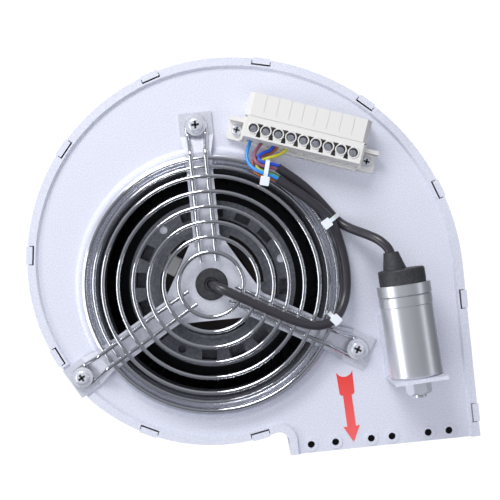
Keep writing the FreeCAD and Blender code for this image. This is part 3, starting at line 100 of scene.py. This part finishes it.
# Each conductor: where it leaves its sheath (across and in front of the middle), then its route.
CONDUCTORS = {
    "light_blue_wire": (MOTOR_CABLE_ROUTE, (0.1, 1.25), (38.5, -16.4, 61.0), (33.2, -15.6, 63.6),
                        (29.4, -13.6, 67.4), (28.2, -11.6, 72.0), (29.0, -9.8, 76.6), (32.14, -8.3, 83.13)),
    "green_yellow_wire": (MOTOR_CABLE_ROUTE, (1.03, -0.72), (38.7, -14.4, 61.9), (34.6, -13.0, 64.0),
                          (33.4, -11.6, 67.4), (36.6, -10.4, 69.8), (43.6, -9.2, 71.2), (49.8, -8.6, 72.5),
                          (53.15, -8.3, 75.65)),
    "brown_wire": (MOTOR_CABLE_ROUTE, (-1.13, -0.53), (38.1, -14.4, 59.5), (32.9, -13.0, 62.0),
                   (31.0, -12.4, 66.2), (31.6, -11.2, 70.4), (36.0, -8.6, 72.3), (41.0, -7.6, 73.0),
                   (45.6, -7.8, 74.6), (47.31, -8.3, 77.73)),
    "mauve_wire": (CAPACITOR_CABLE_ROUTE, (-1.1, 0.0), (39.5, -14.0, 65.0), (35.0, -14.6, 67.0),
                   (32.6, -13.6, 70.2), (33.0, -11.4, 74.2), (35.6, -9.4, 77.4), (38.54, -8.3, 80.85)),
    "dark_blue_wire": (CAPACITOR_CABLE_ROUTE, (1.1, 0.0), (40.1, -14.0, 67.1), (36.6, -14.2, 68.4),
                       (34.9, -13.2, 70.9), (36.4, -11.2, 73.4), (40.0, -9.9, 74.4), (43.5, -9.4, 75.1),
                       (45.14, -8.9, 78.5)),
}


# ---------------------------------------------------------------- materials
def new_material(name, **inputs):
    """Principled material; inputs are socket names with _ for spaces."""
    material = bpy.data.materials.new(name)
    material.use_nodes = True
    shader = material.node_tree.nodes["Principled BSDF"]
    for key, value in inputs.items():
        socket = shader.inputs[key.replace("_", " ")]
        socket.default_value = (*value, 1.0) if key in ("Base_Color", "Emission_Color") else value
    return material, shader


def add_node(material, kind, **settings):
    node = material.node_tree.nodes.new(kind)
    for key, value in settings.items():
        setattr(node, key, value)
    return node


def link(material, source, target):
    material.node_tree.links.new(source, target)


def add_grain(material, shader, dark, light, scale, bump):
    """Fine mottling of the colour between two tones, with a matching bump where asked."""
    place = add_node(material, "ShaderNodeTexCoord")
    noise = add_node(material, "ShaderNodeTexNoise")
    noise.inputs["Scale"].default_value = scale
    noise.inputs["Detail"].default_value = 2.0
    ramp = add_node(material, "ShaderNodeValToRGB")
    ramp.color_ramp.elements[0].position = 0.38
    ramp.color_ramp.elements[1].position = 0.62
    ramp.color_ramp.elements[0].color = (*dark, 1.0)
    ramp.color_ramp.elements[1].color = (*light, 1.0)
    link(material, place.outputs["Object"], noise.inputs["Vector"])
    link(material, noise.outputs["Fac"], ramp.inputs["Fac"])
    link(material, ramp.outputs["Color"], shader.inputs["Base Color"])
    if bump:
        relief = add_node(material, "ShaderNodeBump")
        relief.inputs["Strength"].default_value = bump
        relief.inputs["Distance"].default_value = 0.0001
        link(material, noise.outputs["Fac"], relief.inputs["Height"])
        link(material, relief.outputs["Normal"], shader.inputs["Normal"])


def add_mouth(material, shader):
    """Smoother, more mirror-like metal on the bell-mouth, where the sheet is drawn."""
    place = add_node(material, "ShaderNodeTexCoord")
    flat = add_node(material, "ShaderNodeVectorMath", operation="MULTIPLY")
    flat.inputs[1].default_value = (1.0, 0.0, 1.0)
    radius = add_node(material, "ShaderNodeVectorMath", operation="LENGTH")
    link(material, place.outputs["Object"], flat.inputs[0])
    link(material, flat.outputs["Vector"], radius.inputs[0])
    for name, inside, outside in (("Metallic", 0.92, 0.15), ("Roughness", 0.26, 0.45)):
        spread = add_node(material, "ShaderNodeMapRange")
        spread.inputs["From Min"].default_value = MOUTH_RADIUS - MOUTH_BLEND
        spread.inputs["From Max"].default_value = MOUTH_RADIUS
        spread.inputs["To Min"].default_value = inside
        spread.inputs["To Max"].default_value = outside
        link(material, radius.outputs["Value"], spread.inputs["Value"])
        link(material, spread.outputs["Result"], shader.inputs[name])


def sheet(name, dark, light, scale, bump):
    material, shader = new_material(name)
    add_grain(material, shader, dark, light, scale, bump)
    add_mouth(material, shader)
    return material


def grained(name, dark, light, scale, bump=0.0, **inputs):
    material, shader = new_material(name, **inputs)
    add_grain(material, shader, dark, light, scale, bump)
    return material


def plain(name, **inputs):
    return new_material(name, **inputs)[0]


def graded(name, low, high, bottom, top, **inputs):
    """Colour that changes from bottom to top between two heights, in metres."""
    material, shader = new_material(name, **inputs)
    place = add_node(material, "ShaderNodeTexCoord")
    split = add_node(material, "ShaderNodeSeparateXYZ")
    spread = add_node(material, "ShaderNodeMapRange")
    spread.inputs["From Min"].default_value = low
    spread.inputs["From Max"].default_value = high
    mix = add_node(material, "ShaderNodeMix", data_type="RGBA")
    mix.inputs[6].default_value = (*bottom, 1.0)
    mix.inputs[7].default_value = (*top, 1.0)
    link(material, place.outputs["Object"], split.inputs["Vector"])
    link(material, split.outputs["Z"], spread.inputs["Value"])
    link(material, spread.outputs["Result"], mix.inputs["Factor"])
    link(material, mix.outputs[2], shader.inputs["Base Color"])
    return material


LOOKS = {
    "galvanised_sheet": sheet("galvanised_sheet", (0.67, 0.685, 0.78), (0.79, 0.805, 0.90), 1400.0, 0.25),
    "bracket_steel": grained("bracket_steel", (0.62, 0.63, 0.70), (0.69, 0.70, 0.77), 900.0, 0.1,
                             Metallic=0.25, Roughness=0.36),
    "chrome_wire": plain("chrome_wire", Base_Color=(0.80, 0.81, 0.84), Metallic=1.0, Roughness=0.05),
    "bright_fasteners": plain("bright_fasteners", Base_Color=(0.82, 0.84, 0.90), Metallic=0.45,
                              Roughness=0.2),
    # Painted shade: the cast aluminium is darkened well below its own tone to stand for the shade in the
    # inlet.
    "cast_aluminium": grained("cast_aluminium", (0.13, 0.135, 0.155), (0.18, 0.185, 0.21), 500.0, 0.3,
                              Metallic=0.6, Roughness=0.48),
    "can_aluminium": plain("can_aluminium", Base_Color=(0.80, 0.81, 0.84), Metallic=0.85, Roughness=0.36),
    # Painted shade: laminations, rotor steel and impeller steel are darkened to near black to stand for the
    # shade inside the fan.
    "laminations": plain("laminations", Base_Color=(0.03, 0.03, 0.035), Metallic=0.6, Roughness=0.5),
    "rotor_steel": plain("rotor_steel", Base_Color=(0.02, 0.02, 0.024), Metallic=0.3, Roughness=0.55),
    "impeller_steel": plain("impeller_steel", Base_Color=(0.035, 0.036, 0.042), Metallic=0.6, Roughness=0.35),
    "bearing_steel": plain("bearing_steel", Base_Color=(0.55, 0.56, 0.58), Metallic=1.0, Roughness=0.15),
    # Windings: dark varnished copper, darkened further to near black as painted shade inside the stator.
    "copper": plain("copper", Base_Color=(0.018, 0.012, 0.010), Metallic=0.3, Roughness=0.4),
    "contact_brass": plain("contact_brass", Base_Color=(0.62, 0.44, 0.18), Metallic=1.0, Roughness=0.25),
    "black_rubber": grained("black_rubber", (0.028, 0.028, 0.032), (0.042, 0.042, 0.047), 600.0, 0.2,
                            Roughness=0.55),
    "cable_sheath": plain("cable_sheath", Base_Color=(0.040, 0.037, 0.045), Roughness=0.30),
    "connector_plastic": plain("connector_plastic", Base_Color=(0.76, 0.745, 0.72), Roughness=0.45),
    "nylon": plain("nylon", Base_Color=(0.82, 0.84, 0.88), Roughness=0.3, Subsurface_Weight=0.3,
                   Subsurface_Scale=0.002),
    "light_blue": plain("light_blue", Base_Color=(0.03, 0.28, 0.80), Roughness=0.3),
    "mauve": plain("mauve", Base_Color=(0.30, 0.10, 0.16), Roughness=0.3),
    "dark_blue": plain("dark_blue", Base_Color=(0.02, 0.09, 0.62), Roughness=0.3),
    "brown": plain("brown", Base_Color=(0.42, 0.12, 0.04), Roughness=0.35),
    "green_yellow": graded("green_yellow", 0.0620, 0.0665, (0.12, 0.45, 0.16), (0.75, 0.68, 0.06),
                           Roughness=0.3),
    "winding_film": plain("winding_film", Base_Color=(0.55, 0.56, 0.58), Metallic=0.7, Roughness=0.4),
    "arrow_red": graded("arrow_red", -0.105, -0.062, (0.90, 0.13, 0.13), (0.80, 0.045, 0.035),
                        Roughness=0.4),
}


def mesh_object(name, vertices, faces, material):
    mesh = bpy.data.meshes.new(name)
    mesh.from_pydata(vertices, [], faces)
    mesh.materials.append(material)
    piece = bpy.data.objects.new(name, mesh)
    bpy.context.scene.collection.objects.link(piece)
    return piece


def paint_nodes():
    for row in frame["record"]["subparts"]:
        mesh = frame["nodes"][row["node"]].data
        mesh.materials.clear()
        mesh.materials.append(LOOKS[row["material_slot"]])


# ---------------------------------------------------------------- cables
def round_curve(name, points, radius, slot_name):
    """Smooth round cable whose control points are the given ones, in mm."""
    data = bpy.data.curves.new(name, "CURVE")
    data.dimensions = "3D"
    spline = data.splines.new("NURBS")
    spline.points.add(len(points) - 1)
    for control, point in zip(spline.points, points):
        control.co = (*[value * MM for value in point], 1.0)
    spline.order_u = 3
    spline.use_endpoint_u = True
    spline.resolution_u = 12
    data.bevel_depth = radius * MM
    data.bevel_resolution = 8
    data.use_fill_caps = True
    data.materials.append(LOOKS[slot_name])
    piece = bpy.data.objects.new(name, data)
    bpy.context.scene.collection.objects.link(piece)
    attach(piece, HOUSING)
    return piece


def sheathed_cable(name, node, route, radius):
    """Cable that stands for a node."""
    piece = round_curve(name, route, radius, "cable_sheath")
    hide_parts(node)


def conductor(node, sheath, leaving, *route):
    """Conductor from the end face of its sheath into its terminal."""
    end, before = Vector(sheath[-1]), Vector(sheath[-2])
    heading = (end - before).normalized()
    across = Vector((heading.z, 0.0, -heading.x)).normalized()
    start = end + across * leaving[0] + Vector((0.0, -leaving[1], 0.0))
    points = [start - heading * 1.5, start + heading * 1.5] + [Vector(point) for point in route]
    slot_name = node[:-len("_wire")]
    piece = round_curve("conductor_" + slot_name, points, CONDUCTOR_RADIUS, slot_name)
    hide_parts(node)


def build_cables():
    sheathed_cable("motor_cable_sheath", "motor_cable", MOTOR_CABLE_ROUTE, MOTOR_CABLE_RADIUS)
    sheathed_cable("capacitor_cable_sheath", "capacitor_cable", CAPACITOR_CABLE_ROUTE,
                   CAPACITOR_CABLE_RADIUS)
    for node, (sheath, leaving, *route) in CONDUCTORS.items():
        conductor(node, sheath, leaving, *route)


# ---------------------------------------------------------------- terminal wells
def on_strip(along, up=0.0):
    """X and Z, in mm, of a point given along and above the terminal strip's middle."""
    cos, sin = math.cos(CONNECTOR_ANGLE), math.sin(CONNECTOR_ANGLE)
    x, z = CONNECTOR_CENTRE
    return x + cos * along - sin * up, z + sin * along + cos * up


def turned_rings(name, slot_name, profile, segments=48):
    """One ring for each pole, turned from a closed profile of (radius, Y) points in mm."""
    vertices, faces = [], []
    for pole in range(POLES):
        x, z = on_strip((pole - (POLES - 1) / 2) * POLE_PITCH, SCREW_HEIGHT)
        first, count = len(vertices), len(profile)
        for step in range(segments):
            turn = math.tau * step / segments
            vertices += [((x + radius * math.cos(turn)) * MM, y * MM, (z + radius * math.sin(turn)) * MM)
                         for radius, y in profile]
            for k in range(count):
                here, after = first + step * count, first + (step + 1) % segments * count
                faces.append((here + k, here + (k + 1) % count, after + (k + 1) % count, after + k))
    piece = mesh_object(name, vertices, faces, LOOKS[slot_name])
    piece.data.shade_smooth()
    crisp = piece.modifiers.new("edges", "EDGE_SPLIT")
    crisp.split_angle = math.radians(35.0)
    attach(piece, HOUSING)


def build_wells():
    """A pale collar round each terminal's well, and a black tube inside the well as painted shade of its
    hollow.
    """
    collar, shade_inner = WELL_RADIUS + 0.65, WELL_RADIUS - 0.6
    turned_rings("terminal_collars", "connector_plastic", [
        (WELL_RADIUS - 0.1, BASE_FACE + 1.0), (WELL_RADIUS - 0.1, BASE_FACE - 0.35),
        (WELL_RADIUS + 0.15, BASE_FACE - 0.55), (collar - 0.2, BASE_FACE - 0.55), (collar, BASE_FACE - 0.35),
        (collar, BASE_FACE + 1.0)])
    # Painted shade: black tube lining the well below the screw head.
    turned_rings("terminal_well_shades", "black_rubber", [
        (shade_inner, SCREW_FACE - 0.3), (shade_inner, SCREW_FACE + 0.3), (WELL_RADIUS + 0.1, SCREW_FACE + 0.3),
        (WELL_RADIUS + 0.1, BASE_FACE + 0.4), (WELL_RADIUS - 0.2, BASE_FACE + 0.4)])


# ---------------------------------------------------------------- painted shade in the screw recesses
def build_recess_shades():
    """Black blocks in the cross recesses of the bracket's and the connector's screws: painted shade of the
    recesses' bottoms.
    """
    feet = [(FOOT_SCREW * math.cos(turn), FOOT_SCREW * math.sin(turn), turn, FOOT_SCREW_FACE, FOOT_SCREW_HEAD)
            for turn in map(math.radians, FOOT_ANGLES)]
    ears = [(*on_strip(place), CONNECTOR_ANGLE, EAR_SCREW_FACE, EAR_SCREW_HEAD)
            for place in (-EAR_PLACE, EAR_PLACE)]
    vertices, faces = [], []
    for x, z, turn, face, head in feet + ears:
        for quarter in (0.0, math.pi / 2):
            cos, sin = math.cos(turn + quarter), math.sin(turn + quarter)
            long, wide = head * 0.53, head * 0.15
            first = len(vertices)
            for y in (face + RECESS_DEPTH, face + RECESS_DEPTH + 0.45):
                for u, v in ((-long, -wide), (long, -wide), (long, wide), (-long, wide)):
                    vertices.append(((x + cos * u - sin * v) * MM, y * MM, (z + sin * u + cos * v) * MM))
            faces += [tuple(first + k for k in corners) for corners in BOX_FACES]
    piece = mesh_object("screw_recess_shades", vertices, faces, LOOKS["black_rubber"])
    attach(piece, HOUSING)


# ---------------------------------------------------------------- camera, backdrop and light
def build_camera():
    data = bpy.data.cameras.new("camera")
    data.sensor_width = SENSOR
    data.lens = SENSOR * CAMERA_DISTANCE / VIEW_WIDTH
    camera = bpy.data.objects.new("camera", data)
    bpy.context.scene.collection.objects.link(camera)
    right = Vector((math.cos(CAMERA_ROLL), 0.0, -math.sin(CAMERA_ROLL)))
    up = Vector((math.sin(CAMERA_ROLL), 0.0, math.cos(CAMERA_ROLL)))
    turn = Matrix((right, up, Vector((0.0, -1.0, 0.0)))).transposed().to_4x4()
    place = Vector((CAMERA_AIM[0], -CAMERA_DISTANCE, CAMERA_AIM[1]))
    camera.matrix_world = Matrix.Translation(place) @ turn
    bpy.context.scene.camera = camera


def area_light(name, place, aim, size, power, tint=(1.0, 1.0, 1.0)):
    data = bpy.data.lights.new(name, "AREA")
    data.shape = "RECTANGLE"
    data.size, data.size_y = size
    data.energy = power
    data.color = tint
    light = bpy.data.objects.new(name, data)
    bpy.context.scene.collection.objects.link(light)
    light.location = place
    light.rotation_euler = (Vector(aim) - Vector(place)).to_track_quat("-Z", "Y").to_euler()
    return light


def build_backdrop():
    """White wall behind the object; it shines by itself, so it stays white."""
    material = bpy.data.materials.new("backdrop")
    material.use_nodes = True
    tree = material.node_tree
    tree.nodes.clear()
    glow = tree.nodes.new("ShaderNodeEmission")
    glow.inputs["Strength"].default_value = 1.05
    output = tree.nodes.new("ShaderNodeOutputMaterial")
    tree.links.new(glow.outputs["Emission"], output.inputs["Surface"])
    half, depth = BACKDROP_HALF, BACKDROP_DEPTH
    corners = [(-half, -half), (half, -half), (half, half), (-half, half)]
    vertices = [(CAMERA_AIM[0] + x, depth, CAMERA_AIM[1] + z) for x, z in corners]
    wall = mesh_object("backdrop", vertices, [(0, 1, 2, 3)], material)


def build_painted_shade_card():
    """Near-black card under the outlet, painted shade seen only through the holes along the front plate's
    lower edge.
    """
    material = plain("painted_shade_card", Base_Color=(0.004, 0.004, 0.005), Roughness=0.9)
    (_, _, bottom), (right, _, _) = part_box("front_side_plate")
    near, far, top, foot = right - 0.105, right - 0.006, bottom + 0.003, bottom - 0.0045
    corners = [(near, foot), (far, foot), (far, top), (near, top)]
    vertices = [(x, PAINTED_SHADE_CARD_DEPTH, z) for x, z in corners]
    painted_shade_card = mesh_object("painted_shade_card", vertices, [(0, 1, 2, 3)], material)


def build_world():
    """Soft sky, brightest above and to the left."""
    world = bpy.data.worlds.new("world")
    bpy.context.scene.world = world
    world.use_nodes = True
    tree = world.node_tree
    shade = tree.nodes["Background"]
    place = tree.nodes.new("ShaderNodeTexCoord")
    height = tree.nodes.new("ShaderNodeVectorMath")
    height.operation = "DOT_PRODUCT"
    height.inputs[1].default_value = (-0.45, 0.0, 0.9)
    spread = tree.nodes.new("ShaderNodeMapRange")
    spread.inputs["From Min"].default_value = -0.7
    spread.inputs["From Max"].default_value = 0.7
    ramp = tree.nodes.new("ShaderNodeValToRGB")
    ramp.color_ramp.elements[0].color = (0.30, 0.31, 0.36, 1.0)
    ramp.color_ramp.elements[1].color = (0.90, 0.93, 1.0, 1.0)
    tree.links.new(place.outputs["Generated"], height.inputs[0])
    tree.links.new(height.outputs["Value"], spread.inputs["Value"])
    tree.links.new(spread.outputs["Result"], ramp.inputs["Fac"])
    tree.links.new(ramp.outputs["Color"], shade.inputs["Color"])
    shade.inputs["Strength"].default_value = 0.36


def build_lights():
    middle = (0.02, 0.0, 0.0)
    area_light("key", (-0.35, -0.80, 0.95), middle, (0.6, 0.5), 11.0)
    fill = area_light("fill", (0.15, -1.6, -0.35), middle, (1.8, 1.3), 12.0, (0.92, 0.94, 1.0))
    fill.visible_glossy = False
    area_light("left_strip", (-1.0, -0.5, -0.1), middle, (0.25, 0.9), 4.5, (0.94, 0.96, 1.0))
    area_light("right_strip", (0.95, -0.45, -0.1), middle, (0.2, 0.8), 0.7, (0.92, 0.95, 1.0))
    area_light("back", (0.3, 0.8, 0.9), (0.0, 0.1, 0.0), (0.6, 0.5), 4.0)


paint_nodes()
build_cables()
build_wells()
build_recess_shades()
build_camera()
build_backdrop()
build_painted_shade_card()
build_world()
build_lights()
bpy.context.scene.view_settings.view_transform = "Standard"
